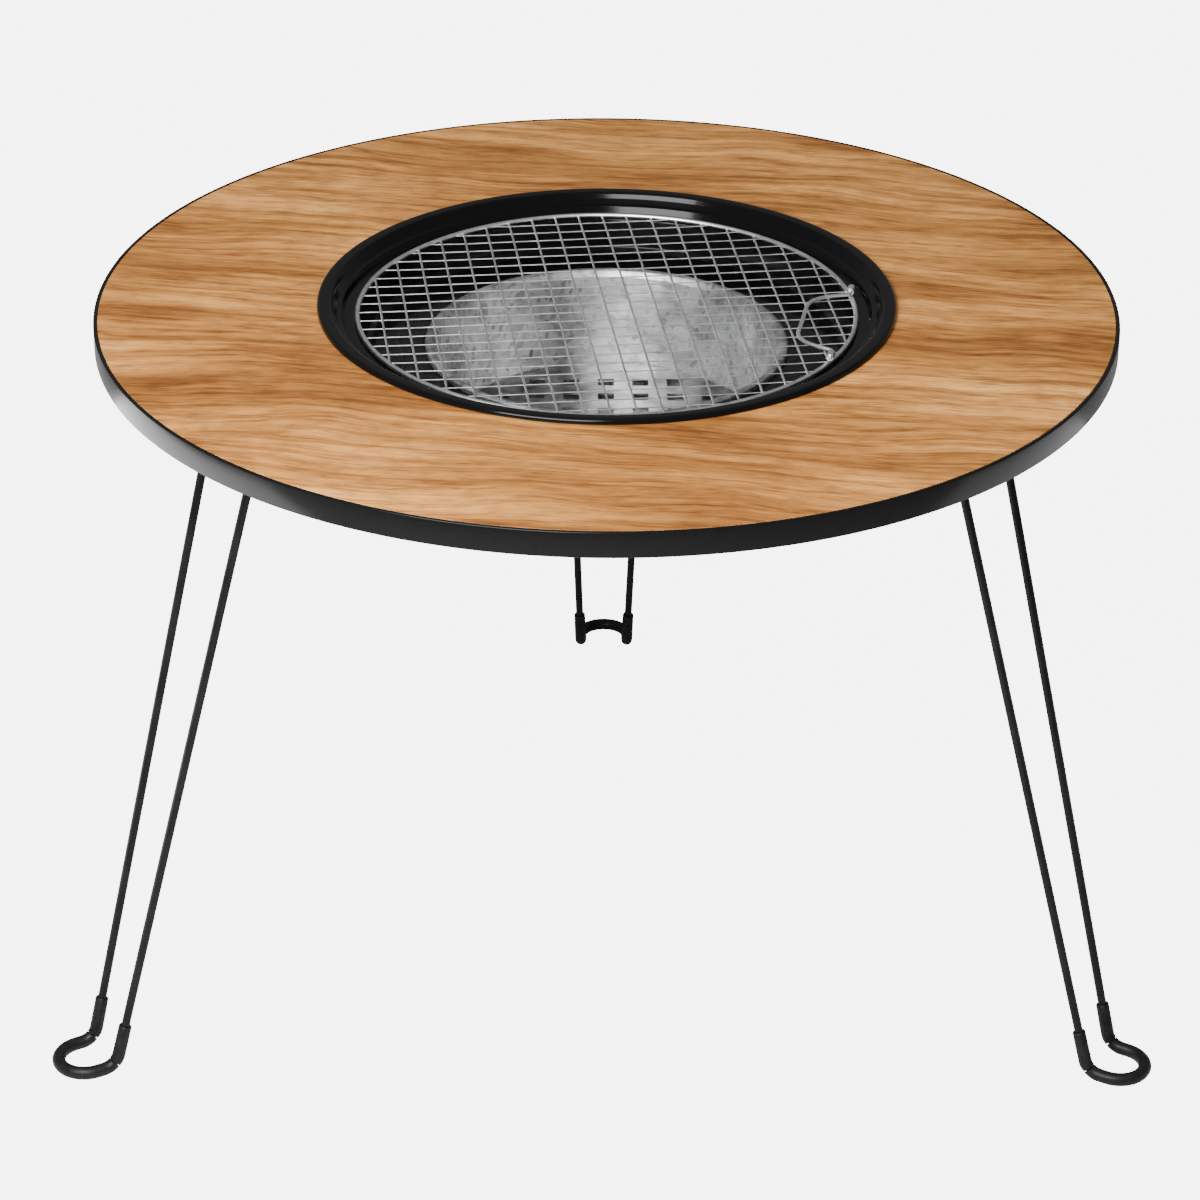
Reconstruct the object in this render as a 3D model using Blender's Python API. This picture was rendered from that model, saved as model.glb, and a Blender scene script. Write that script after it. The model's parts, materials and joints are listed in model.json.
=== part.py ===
"""Round charcoal table on three folding hairpin legs.

A ring-shaped table top holds a drop-in fire basin.  A charcoal pot with a
loose fire grate stands in the basin and a round wire net lies over it.
Units are metres, +Z is up, the table stands on the floor at z = 0.
"""
import math

import bmesh
import bpy
from mathutils import Matrix, Vector

# ---- table top ----
TABLE_RADIUS = 0.400
TABLE_HEIGHT = 0.560
TOP_THICK = 0.018
LAMINATE_THICK = 0.0010
BAND_THICK = 0.003
BAND_DROP = 0.002
BAND_CHAMFER = 0.0008
GAP = 0.0003
SEGMENTS = 40
SHARP_ANGLE = math.radians(50.0)

# ---- fire basin (pressed sheet, drops into the hole in the top) ----
BASIN_RIM_RADIUS = 0.2270
BASIN_SHEET = 0.0012
RIM_HEIGHT = 0.0040
RIM_WIDTH = 0.0125
NECK_CLEARANCE = 0.0020
RIDGE_DEPTH = 0.0045
RIDGE_INSET = 0.0030
RIDGE_WIDTH = 0.0028
NET_STEP_DEPTH = 0.0105
NET_STEP_INSET = 0.0080
NET_STEP_WIDTH = 0.0115
WALL_INSET = 0.0090
LEDGE_DEPTH = 0.0370
LEDGE_WIDTH = 0.0485
BASIN_DEPTH = 0.1290
BASIN_CORNER = 0.0090

# ---- charcoal pot and fire grate ----
POT_RIM_OVERLAP = 0.0050
POT_RIM_HEIGHT = 0.0040
POT_SHEET = 0.0010
POT_CLEARANCE = 0.0015
POT_TAPER = 0.0185
POT_FLOOR_GAP = 0.0060
POT_CORNER = 0.0090
GRATE_RISE = 0.0120
GRATE_THICK = 0.0016
GRATE_PITCH = 0.0280
GRATE_HOLE = 0.0130

# ---- grill net and its handle ----
NET_RING_CLEARANCE = 0.0090
NET_RING_WIRE = 0.0020
NET_WIRES = 19
NET_CROSS_WIRES = 23
NET_WIRE_WIDTH = 0.0024
NET_WIRE_HEIGHT = 0.0020
NET_TURN = math.radians(7.0)
HANDLE_WIRE = 0.0016
HANDLE_BEARING = math.radians(-10.0)
HANDLE_HALF_SPREAD = math.radians(19.0)
HANDLE_REACH = 0.0300
HANDLE_GRIP_HALF = 0.0400
LUG_LENGTH = 0.0100
LUG_WALL = 0.0010

# ---- hairpin legs ----
LEG_AZIMUTHS = (90.0, 210.0, 330.0)
ROD_RADIUS = 0.0034
PIVOT_INSET = 0.0800
PIVOT_DROP = 0.0110
LEG_TOP_HALF_WIDTH = 0.0388
LEG_FOOT_HALF_WIDTH = 0.0218
FOOT_STANDOFF = 0.0580
FOOT_LENGTH = 0.0380
PIN_END = 0.0045
ROD_BEND = 0.0075
FOOT_BEND = 0.0140
SLEEVE_WALL = 0.0013
SLEEVE_TOP = 0.0360

# ---- leg brackets and their screws ----
BRACKET_SHEET = 0.0020
BRACKET_FLANGE = 0.0245
BRACKET_HALF_DEPTH = 0.0180
EAR_MARGIN = 0.0067
SCREW_END_MARGIN = 0.0090
SCREW_SIDE_MARGIN = 0.0070
SCREW_SHANK = 0.0019
SCREW_HEAD = 0.0042
SCREW_HEAD_HEIGHT = 0.0022
SCREW_DEPTH = 0.0110

# ---- sizes that follow from the ones above ----
TOP_Z = TABLE_HEIGHT
BOARD_RADIUS = TABLE_RADIUS - BAND_THICK - GAP
NECK_RADIUS = BASIN_RIM_RADIUS - RIM_WIDTH
HOLE_RADIUS = NECK_RADIUS + BASIN_SHEET / 2 + NECK_CLEARANCE
UNDERSIDE_Z = TOP_Z - TOP_THICK
PIVOT_Z = UNDERSIDE_Z - GAP - PIVOT_DROP
PIVOT_RADIUS = TABLE_RADIUS - PIVOT_INSET
EAR_ALONG = LEG_TOP_HALF_WIDTH + ROD_BEND + BRACKET_SHEET / 2
PIN_TIP = EAR_ALONG + BRACKET_SHEET / 2 + PIN_END
PIN_HOLE = (ROD_RADIUS + GAP) / math.cos(math.pi / 8)
EAR_TIP = -PIN_HOLE - EAR_MARGIN
BRACKET_HALF_LENGTH = EAR_ALONG + BRACKET_FLANGE
SCREW_ALONG = BRACKET_HALF_LENGTH - SCREW_END_MARGIN
SCREW_ACROSS = BRACKET_HALF_DEPTH - SCREW_SIDE_MARGIN
SLEEVE_INNER = PIN_HOLE
SLEEVE_OUTER = SLEEVE_INNER + SLEEVE_WALL
FOOT_Z = SLEEVE_OUTER
NET_STEP_RADIUS = NECK_RADIUS - NET_STEP_INSET
NET_SHELF_RADIUS = NET_STEP_RADIUS - NET_STEP_WIDTH
WELL_RADIUS = NET_SHELF_RADIUS - WALL_INSET - LEDGE_WIDTH
NET_RING_RADIUS = NET_STEP_RADIUS - NET_RING_CLEARANCE - NET_RING_WIRE
NET_Z = TOP_Z - NET_STEP_DEPTH + BASIN_SHEET / 2 + GAP + NET_RING_WIRE
POT_RIM_RADIUS = WELL_RADIUS + POT_RIM_OVERLAP
POT_FLOOR_RADIUS = WELL_RADIUS - POT_TAPER
POT_WALL_TOP = WELL_RADIUS - BASIN_SHEET / 2 - POT_CLEARANCE - POT_SHEET / 2
POT_SEAT = -LEDGE_DEPTH + BASIN_SHEET / 2 + GAP
POT_DEPTH = BASIN_DEPTH - BASIN_SHEET / 2 - POT_FLOOR_GAP - POT_SHEET / 2
POT_CORNER_DEPTH = POT_DEPTH - POT_CORNER
LUG_INNER = (HANDLE_WIRE + GAP) / math.cos(math.pi / 8)
LUG_OUTER = LUG_INNER + LUG_WALL
LUG_Z = NET_Z + NET_RING_WIRE + GAP + LUG_OUTER
HANDLE_X = NET_RING_RADIUS * math.cos(HANDLE_HALF_SPREAD)
HANDLE_Y = NET_RING_RADIUS * math.sin(HANDLE_HALF_SPREAD)


def clear_scene():
    for old in list(bpy.data.objects):
        bpy.data.objects.remove(old)


def material(name, colour, roughness, metallic=0.0):
    made = bpy.data.materials.new(name)
    made.use_nodes = True
    shader = made.node_tree.nodes["Principled BSDF"]
    shader.inputs["Base Color"].default_value = (*colour, 1.0)
    shader.inputs["Roughness"].default_value = roughness
    shader.inputs["Metallic"].default_value = metallic
    return made


def add_object(name, mesh, finish):
    mesh.name = name
    mesh.shade_smooth()
    mesh.set_sharp_from_angle(angle=SHARP_ANGLE)
    made = bpy.data.objects.new(name, mesh)
    made.data.materials.clear()
    made.data.materials.append(finish)
    bpy.context.scene.collection.objects.link(made)
    return made


def lathe(name, profile, finish, closed, segments=SEGMENTS):
    """Turn a profile of (radius, height) points about the Z axis."""
    bm = bmesh.new()
    verts = [bm.verts.new((radius, 0.0, height)) for radius, height in profile]
    for first, second in zip(verts, verts[1:]):
        bm.edges.new((first, second))
    if closed:
        bm.edges.new((verts[-1], verts[0]))
    mesh = bpy.data.meshes.new(name)
    bm.to_mesh(mesh)
    bm.free()
    made = add_object(name, mesh, finish)
    screw = made.modifiers.new("turn", "SCREW")
    screw.axis = "Z"
    screw.angle = math.tau
    screw.steps = segments
    screw.render_steps = segments
    screw.use_merge_vertices = True
    screw.merge_threshold = 0.00001
    screw.use_smooth_shade = True
    return made


def offset_line(points, distance):
    """Shift an open (radius, height) line sideways, mitred at its corners."""
    out = []
    last = len(points) - 1
    for index, point in enumerate(points):
        here = Vector(point)
        before = Vector(points[max(index - 1, 0)])
        after = Vector(points[min(index + 1, last)])
        first = (here - before).normalized() if index else (after - here).normalized()
        second = (after - here).normalized() if index < last else first
        normal = Vector((-(first + second).y, (first + second).x)).normalized()
        side = Vector((-first.y, first.x))
        out.append(here + normal * distance / max(0.5, normal.dot(side)))
    return out


def sheet_profile(centre_line, thickness):
    """Close a sheet's centre line, which runs from its lip to the axis."""
    outer = offset_line(centre_line, thickness / 2)
    inner = offset_line(centre_line, -thickness / 2)
    outer[-1].x = 0.0
    inner[-1].x = 0.0
    return inner[::-1] + outer


def rounded_path(corners, radii, steps):
    """Replace each inner corner of a 3-D line with an arc."""
    out = [Vector(corners[0])]
    for index in range(1, len(corners) - 1):
        here = Vector(corners[index])
        back = (Vector(corners[index - 1]) - here).normalized()
        ahead = (Vector(corners[index + 1]) - here).normalized()
        half = back.angle(ahead) / 2
        reach = radii[index - 1] / math.tan(half)
        centre = here + (back + ahead).normalized() * radii[index - 1] / math.sin(half)
        start = here + back * reach - centre
        end = here + ahead * reach - centre
        turn = start.angle(end)
        for step in range(steps + 1):
            part = step / steps
            mixed = start * math.sin((1 - part) * turn) + end * math.sin(part * turn)
            out.append(centre + mixed / math.sin(turn))
    out.append(Vector(corners[-1]))
    return out


def tube_mesh(name, path, radius, caps):
    """Sweep an eight-sided section along a path with a bevelled curve."""
    curve = bpy.data.curves.new(name, "CURVE")
    curve.dimensions = "3D"
    curve.bevel_depth = radius
    curve.bevel_resolution = 2
    curve.use_fill_caps = caps
    spline = curve.splines.new("POLY")
    spline.points.add(len(path) - 1)
    for point, place in zip(spline.points, path):
        point.co = (*place, 1.0)
    holder = bpy.data.objects.new(name, curve)
    bpy.context.scene.collection.objects.link(holder)
    bpy.context.view_layer.update()
    mesh = bpy.data.meshes.new_from_object(holder)
    bpy.data.objects.remove(holder)
    bpy.data.curves.remove(curve)
    bm = bmesh.new()
    bm.from_mesh(mesh)
    bmesh.ops.remove_doubles(bm, verts=bm.verts, dist=0.000001)
    bmesh.ops.recalc_face_normals(bm, faces=bm.faces)
    bm.to_mesh(mesh)
    bm.free()
    return mesh


def hollow_tube(name, path, inner, outer, finish):
    """A tube with a real bore: an open sweep given a wall by Solidify."""
    mesh = tube_mesh(name, path, outer, False)
    made = add_object(name, mesh, finish)
    wall = made.modifiers.new("wall", "SOLIDIFY")
    wall.thickness = (outer - inner) * math.cos(math.pi / 8)
    wall.offset = -1.0
    wall.use_even_offset = True
    return made


def cutter(name, mesh):
    """A hidden cutting body for a Boolean."""
    made = bpy.data.objects.new(name, mesh)
    bpy.context.scene.collection.objects.link(made)
    made.hide_render = True
    made.display_type = "WIRE"
    return made


def cut(target, tool):
    step = target.modifiers.new("cut", "BOOLEAN")
    step.operation = "DIFFERENCE"
    step.solver = "EXACT"
    step.object = tool


def leg_frame(azimuth):
    """Frame of a leg pivot: X along the pin, Y outward, Z up."""
    turn = Matrix.Rotation(math.radians(azimuth - 90.0), 4, "Z")
    place = turn @ Vector((0.0, PIVOT_RADIUS, PIVOT_Z))
    return Matrix.Translation(place) @ turn


def build_top(wood, board, black):
    lathe("wood_laminate", [
        (BOARD_RADIUS, TOP_Z), (BOARD_RADIUS, TOP_Z - LAMINATE_THICK),
        (HOLE_RADIUS, TOP_Z - LAMINATE_THICK), (HOLE_RADIUS, TOP_Z)], wood, True)
    core_top = TOP_Z - LAMINATE_THICK - GAP / 3
    core = lathe("tabletop_board", [
        (BOARD_RADIUS, core_top), (BOARD_RADIUS, UNDERSIDE_Z),
        (HOLE_RADIUS, UNDERSIDE_Z), (HOLE_RADIUS, core_top)], board, True)
    cut(core, cutter("screw_pilots", pilot_mesh()))
    lathe("edge_band", [
        (TABLE_RADIUS - BAND_CHAMFER, TOP_Z), (TABLE_RADIUS, TOP_Z - BAND_CHAMFER),
        (TABLE_RADIUS, UNDERSIDE_Z - BAND_DROP), (TABLE_RADIUS - BAND_THICK, UNDERSIDE_Z - BAND_DROP),
        (TABLE_RADIUS - BAND_THICK, TOP_Z)], black, True)


def screw_places():
    for azimuth in LEG_AZIMUTHS:
        frame = leg_frame(azimuth)
        for along in (-SCREW_ALONG, SCREW_ALONG):
            for across in (-SCREW_ACROSS, SCREW_ACROSS):
                place = frame @ Vector((along, across, 0.0))
                yield place.x, place.y


def pilot_mesh():
    """Twelve blind pilot holes in the underside of the board."""
    bm = bmesh.new()
    depth = SCREW_DEPTH + GAP
    for x, y in screw_places():
        radius = (SCREW_SHANK + GAP) / math.cos(math.pi / 8)
        place = Matrix.Translation((x, y, UNDERSIDE_Z))
        bmesh.ops.create_cone(bm, cap_ends=True, segments=8, radius1=radius, radius2=radius,
                              depth=2 * depth, matrix=place)
    mesh = bpy.data.meshes.new("screw_pilots")
    bm.to_mesh(mesh)
    bm.free()
    return mesh


def build_brackets(steel):
    """Folded leg brackets: a base plate with two ears that carry the pivot."""
    ear = EAR_ALONG
    half = BRACKET_SHEET / 2
    top = PIVOT_DROP
    low = top - BRACKET_SHEET
    tip = EAR_TIP
    outline = [(-BRACKET_HALF_LENGTH, low), (-ear - half, low), (-ear - half, tip), (-ear + half, tip),
               (-ear + half, low), (ear - half, low), (ear - half, tip), (ear + half, tip),
               (ear + half, low), (BRACKET_HALF_LENGTH, low), (BRACKET_HALF_LENGTH, top),
               (-BRACKET_HALF_LENGTH, top)]
    for number, azimuth in enumerate(LEG_AZIMUTHS, 1):
        bm = bmesh.new()
        ring = [bm.verts.new((x, -BRACKET_HALF_DEPTH, z)) for x, z in outline]
        face = bm.faces.new(ring)
        grown = bmesh.ops.extrude_face_region(bm, geom=[face])["geom"]
        moved = [item for item in grown if isinstance(item, bmesh.types.BMVert)]
        bmesh.ops.translate(bm, verts=moved, vec=(0.0, 2 * BRACKET_HALF_DEPTH, 0.0))
        bmesh.ops.recalc_face_normals(bm, faces=bm.faces)
        mesh = bpy.data.meshes.new("bracket")
        bm.to_mesh(mesh)
        bm.free()
        made = add_object(f"leg_bracket_{number}", mesh, steel)
        made.matrix_world = leg_frame(azimuth)
        tool = cutter(f"bracket_holes_{number}", bracket_hole_mesh())
        tool.matrix_world = leg_frame(azimuth)
        cut(made, tool)


def bracket_hole_mesh():
    bm = bmesh.new()
    screw_hole = (SCREW_SHANK + GAP) / math.cos(math.pi / 8)
    sideways = Matrix.Rotation(math.pi / 2, 4, "Y")
    bmesh.ops.create_cone(bm, cap_ends=True, segments=8, radius1=PIN_HOLE, radius2=PIN_HOLE,
                          depth=2.4 * BRACKET_HALF_LENGTH, matrix=sideways)
    for along in (-SCREW_ALONG, SCREW_ALONG):
        for across in (-SCREW_ACROSS, SCREW_ACROSS):
            place = Matrix.Translation((along, across, PIVOT_DROP))
            bmesh.ops.create_cone(bm, cap_ends=True, segments=8, radius1=screw_hole,
                                  radius2=screw_hole, depth=4 * BRACKET_SHEET, matrix=place)
    mesh = bpy.data.meshes.new("bracket_holes")
    bm.to_mesh(mesh)
    bm.free()
    return mesh


def build_screws(steel):
    """Pan-head screws that hold the brackets under the board."""
    seat = UNDERSIDE_Z - GAP - BRACKET_SHEET - GAP
    profile = [(0.0, UNDERSIDE_Z + SCREW_DEPTH), (SCREW_SHANK, UNDERSIDE_Z + SCREW_DEPTH * 0.75),
               (SCREW_SHANK, seat), (SCREW_HEAD, seat),
               (SCREW_HEAD * 0.75, seat - SCREW_HEAD_HEIGHT), (0.0, seat - SCREW_HEAD_HEIGHT)]
    for number, (x, y) in enumerate(screw_places(), 1):
        made = lathe(f"bracket_screw_{number}", profile, steel, False, 8)
        made.location = (x, y, 0.0)


def leg_corners():
    """Corner points of half a hairpin, from its pivot pin to its foot."""
    foot_out = PIVOT_INSET + FOOT_STANDOFF
    foot_low = FOOT_Z - PIVOT_Z
    knee = Vector((LEG_FOOT_HALF_WIDTH, foot_out, foot_low))
    toe = Vector((LEG_FOOT_HALF_WIDTH, foot_out + FOOT_LENGTH - LEG_FOOT_HALF_WIDTH, foot_low))
    shoulder = Vector((LEG_TOP_HALF_WIDTH, 0.0, 0.0))
    return shoulder, knee, toe


def foot_loop(toe):
    centre = Vector((0.0, toe.y, toe.z))
    out = []
    for step in range(1, 8):
        angle = math.pi * step / 8
        side = Vector((math.cos(angle), math.sin(angle), 0.0))
        out.append(centre + side * LEG_FOOT_HALF_WIDTH)
    return out


def mirrored(path):
    return [Vector((-place.x, place.y, place.z)) for place in reversed(path)]


def build_legs(rod_finish, sleeve_finish):
    shoulder, knee, toe = leg_corners()
    pin_end = Vector((PIN_TIP, 0.0, 0.0))
    half = rounded_path([pin_end, shoulder, knee, toe], [ROD_BEND, FOOT_BEND], 3)
    path = half + foot_loop(toe) + mirrored(half)
    slope = (shoulder - knee).normalized()
    sleeve_start = knee + slope * (SLEEVE_TOP / slope.z)
    sleeve_half = rounded_path([sleeve_start, knee, toe], [FOOT_BEND], 3)
    sleeve_path = sleeve_half + foot_loop(toe) + mirrored(sleeve_half)
    for number, azimuth in enumerate(LEG_AZIMUTHS, 1):
        rod = add_object(f"hairpin_leg_{number}", tube_mesh("leg", path, ROD_RADIUS, True), rod_finish)
        rod.matrix_world = leg_frame(azimuth)
        sleeve = hollow_tube(f"foot_sleeve_{number}", sleeve_path, SLEEVE_INNER, SLEEVE_OUTER,
                             sleeve_finish)
        sleeve.matrix_world = leg_frame(azimuth)


def build_basin(enamel):
    """Pressed basin: rolled rim, sloping wall, net step, ledge and deep well."""
    rim = BASIN_RIM_RADIUS - BASIN_SHEET / 2
    step = NET_STEP_RADIUS
    shelf = NET_SHELF_RADIUS
    ridge = NECK_RADIUS - RIDGE_INSET
    line = [(rim, BASIN_SHEET), (rim - 0.0010, RIM_HEIGHT * 0.75), (rim - 0.0040, RIM_HEIGHT),
            (NECK_RADIUS + 0.0020, RIM_HEIGHT * 0.8), (NECK_RADIUS, 0.0),
            (ridge, -RIDGE_DEPTH), (ridge - RIDGE_WIDTH, -RIDGE_DEPTH - 0.0005),
            (step, -NET_STEP_DEPTH), (shelf, -NET_STEP_DEPTH), (shelf - WALL_INSET / 2, -LEDGE_DEPTH + 0.0030),
            (shelf - WALL_INSET, -LEDGE_DEPTH), (WELL_RADIUS + 0.0020, -LEDGE_DEPTH),
            (WELL_RADIUS, -LEDGE_DEPTH - 0.0020), (WELL_RADIUS - 0.0010, -BASIN_DEPTH + BASIN_CORNER),
            (WELL_RADIUS - BASIN_CORNER, -BASIN_DEPTH), (0.0, -BASIN_DEPTH)]
    raised = [(radius, TOP_Z + height) for radius, height in line]
    lathe("fire_basin", sheet_profile(raised, BASIN_SHEET), enamel, False)


def pot_radius(depth):
    """Centre-line radius of the pot's tapered wall at a depth below the top."""
    share = (depth - LEDGE_DEPTH) / (POT_CORNER_DEPTH - LEDGE_DEPTH)
    return POT_WALL_TOP + (POT_FLOOR_RADIUS + 0.0040 - POT_WALL_TOP) * share


def build_pot(steel, iron):
    """Tapered charcoal pot hung by its rolled rim, and the loose grate in it."""
    line = [(POT_RIM_RADIUS, POT_SEAT), (POT_RIM_RADIUS, POT_SEAT + POT_RIM_HEIGHT * 0.6),
            (POT_RIM_RADIUS - 0.0020, POT_SEAT + POT_RIM_HEIGHT),
            (POT_RIM_RADIUS - 0.0045, POT_SEAT + POT_RIM_HEIGHT * 0.9),
            (POT_WALL_TOP, POT_SEAT), (pot_radius(POT_CORNER_DEPTH), -POT_CORNER_DEPTH),
            (POT_FLOOR_RADIUS - 0.0030, -POT_DEPTH), (0.0, -POT_DEPTH)]
    raised = [(radius, TOP_Z + height) for radius, height in line]
    lathe("charcoal_pot", sheet_profile(raised, POT_SHEET), steel, False)
    grate_depth = POT_DEPTH - GRATE_RISE
    grate_z = TOP_Z - grate_depth
    edge = (pot_radius(grate_depth) - POT_SHEET / 2) * math.cos(math.pi / SEGMENTS) - 2 * GAP
    disc = lathe("fire_grate", [
        (0.0, grate_z + GRATE_THICK), (edge, grate_z + GRATE_THICK), (edge, grate_z),
        (0.0, grate_z)], iron, False)
    cut(disc, cutter("grate_holes", grate_hole_mesh(edge, grate_z)))


def grate_hole_mesh(edge, grate_z):
    bm = bmesh.new()
    reach = int(edge / GRATE_PITCH) + 1
    size = Matrix.Diagonal((GRATE_HOLE, GRATE_HOLE, 6 * GRATE_THICK, 1.0))
    for column in range(-reach, reach + 1):
        for row in range(-reach, reach + 1):
            x = column * GRATE_PITCH
            y = row * GRATE_PITCH
            if math.hypot(x, y) + GRATE_HOLE < edge:
                bmesh.ops.create_cube(bm, size=1.0, matrix=Matrix.Translation((x, y, grate_z)) @ size)
    mesh = bpy.data.meshes.new("grate_holes")
    bm.to_mesh(mesh)
    bm.free()
    return mesh


def build_net(chrome):
    """Net: an outer ring and a lattice of crossed wires welded inside it."""
    section = []
    for step in range(6):
        angle = math.pi / 3 * (0.5 - step)
        section.append((NET_RING_RADIUS + NET_RING_WIRE * math.cos(angle),
                        NET_Z + NET_RING_WIRE * math.sin(angle)))
    lathe("net_ring", section, chrome, True)
    inner = (NET_RING_RADIUS - NET_RING_WIRE) * math.cos(math.pi / SEGMENTS) - GAP
    add_object("net_wires", lattice_mesh(inner), chrome)


def lattice_mesh(reach):
    """Crossed ridge-topped bars clipped to a circle, as one closed body."""
    pitches = [2 * (reach + NET_WIRE_WIDTH) / (count + 1) for count in (NET_WIRES, NET_CROSS_WIRES)]
    half = NET_WIRE_WIDTH / 2
    low = NET_Z - NET_WIRE_HEIGHT / 2
    columns = [(index - (NET_WIRES - 1) / 2) * pitches[0] for index in range(NET_WIRES)]
    rows = [(index - (NET_CROSS_WIRES - 1) / 2) * pitches[1] for index in range(NET_CROSS_WIRES)]
    inside = {(i, j) for i, x in enumerate(columns) for j, y in enumerate(rows)
              if math.hypot(x, y) < reach - 3 * half}
    bm = bmesh.new()
    known = {}

    def vert(x, y, z):
        key = (round(x, 7), round(y, 7), round(z, 7))
        if key not in known:
            known[key] = bm.verts.new(key)
        return known[key]

    def place_of(i, j, along, side, height):
        turned = Matrix(((along[0], -along[1]), (along[1], along[0]))) @ Vector(side)
        return vert(columns[i] + turned.x, rows[j] + turned.y, low + height)

    def arm(i, j, along):
        near = (i + along[0], j + along[1])
        pitch = pitches[abs(along[1])]
        here = Vector((columns[i], rows[j])).dot(Vector(along))
        across = abs(Vector((columns[i], rows[j])).dot(Vector((-along[1], along[0]))))
        far = math.sqrt(reach ** 2 - (across + half) ** 2) - here
        if near in inside:
            far = pitch - half
            ridge = pitch
        else:
            far = min(far, pitch - 2 * half)
            ridge = far
        left = place_of(i, j, along, (half, half), 0.0)
        right = place_of(i, j, along, (half, -half), 0.0)
        top = place_of(i, j, along, (0.0, 0.0), NET_WIRE_HEIGHT)
        far_left = place_of(i, j, along, (far, half), 0.0)
        far_right = place_of(i, j, along, (far, -half), 0.0)
        far_top = place_of(i, j, along, (ridge, 0.0), NET_WIRE_HEIGHT)
        bm.faces.new((left, far_left, far_top, top))
        bm.faces.new((right, top, far_top, far_right))
        bm.faces.new((left, right, far_right, far_left))
        if near not in inside:
            bm.faces.new((far_left, far_right, far_top))

    for i, j in sorted(inside):
        corners = [place_of(i, j, (1, 0), side, 0.0)
                   for side in ((half, half), (half, -half), (-half, -half), (-half, half))]
        bm.faces.new(corners)
        for along in ((1, 0), (0, 1), (-1, 0), (0, -1)):
            forward = along in ((1, 0), (0, 1))
            if forward or (i + along[0], j + along[1]) not in inside:
                arm(i, j, along)
    bmesh.ops.recalc_face_normals(bm, faces=bm.faces)
    bmesh.ops.rotate(bm, verts=bm.verts, cent=(0.0, 0.0, 0.0), matrix=Matrix.Rotation(NET_TURN, 3, "Z"))
    mesh = bpy.data.meshes.new("net_wires")
    bm.to_mesh(mesh)
    bm.free()
    return mesh


def build_handle(chrome):
    """Lift handle: a bail whose bent ends turn in two lugs on the net ring."""
    axis = Matrix.Rotation(HANDLE_BEARING, 4, "Z") @ Matrix.Translation((HANDLE_X, 0.0, LUG_Z))
    for number, side in enumerate((-1.0, 1.0), 1):
        ends = [Vector((0.0, side * HANDLE_Y - LUG_LENGTH / 2, 0.0)),
                Vector((0.0, side * HANDLE_Y + LUG_LENGTH / 2, 0.0))]
        lug = hollow_tube(f"handle_lug_{number}", ends, LUG_INNER, LUG_OUTER, chrome)
        lug.matrix_world = axis
    tip = HANDLE_Y + LUG_LENGTH / 2 + 0.0020
    shoulder = HANDLE_Y - LUG_LENGTH / 2 - 0.0040
    corners = [(0.0, -tip, 0.0), (0.0, -shoulder, 0.0), (-HANDLE_REACH, -HANDLE_GRIP_HALF, 0.0),
               (-HANDLE_REACH, HANDLE_GRIP_HALF, 0.0), (0.0, shoulder, 0.0), (0.0, tip, 0.0)]
    path = rounded_path(corners, [0.0035, 0.0250, 0.0250, 0.0035], 3)
    bail = add_object("net_handle", tube_mesh("handle", path, HANDLE_WIRE, True), chrome)
    bail.matrix_world = axis


def centre_on_origin():
    """Stand the table at the origin, centred on its overall size in plan."""
    bpy.context.view_layer.update()
    graph = bpy.context.evaluated_depsgraph_get()
    low = Vector((1e9, 1e9, 1e9))
    high = -low
    for item in bpy.data.objects:
        if item.hide_render:
            continue
        made = item.evaluated_get(graph)
        mesh = made.to_mesh()
        for vert in mesh.vertices:
            place = item.matrix_world @ vert.co
            low = Vector(map(min, low, place))
            high = Vector(map(max, high, place))
        made.to_mesh_clear()
    shift = Matrix.Translation((-(low.x + high.x) / 2, -(low.y + high.y) / 2, -low.z))
    for item in bpy.data.objects:
        item.matrix_world = shift @ item.matrix_world
    print("plan shift", [round(value, 6) for value in shift.translation],
          "pivot z", round(PIVOT_Z, 6), "lug z", round(LUG_Z, 6), "net z", round(NET_Z, 6),
          "handle", round(HANDLE_X, 6), round(HANDLE_Y, 6))


def main():
    clear_scene()
    wood = material("wood_laminate", (0.62, 0.40, 0.22), 0.45)
    board = material("mdf_board", (0.36, 0.26, 0.17), 0.85)
    black_gloss = material("black_edge_plastic", (0.012, 0.012, 0.013), 0.18)
    leg_black = material("black_coated_steel", (0.018, 0.018, 0.019), 0.38)
    sleeve_black = material("black_rubber", (0.02, 0.02, 0.02), 0.75)
    enamel = material("black_enamel", (0.010, 0.010, 0.011), 0.14)
    pot_steel = material("galvanised_steel", (0.60, 0.61, 0.62), 0.30, 1.0)
    grate_steel = material("grate_steel", (0.36, 0.36, 0.37), 0.42, 1.0)
    chrome = material("chromed_wire", (0.78, 0.78, 0.79), 0.18, 1.0)
    zinc = material("zinc_screw", (0.55, 0.55, 0.53), 0.35, 1.0)
    build_top(wood, board, black_gloss)
    build_brackets(leg_black)
    build_screws(zinc)
    build_legs(leg_black, sleeve_black)
    build_basin(enamel)
    build_pot(pot_steel, grate_steel)
    build_net(chrome)
    build_handle(chrome)
    centre_on_origin()


main()
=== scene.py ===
import json
import math

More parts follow.
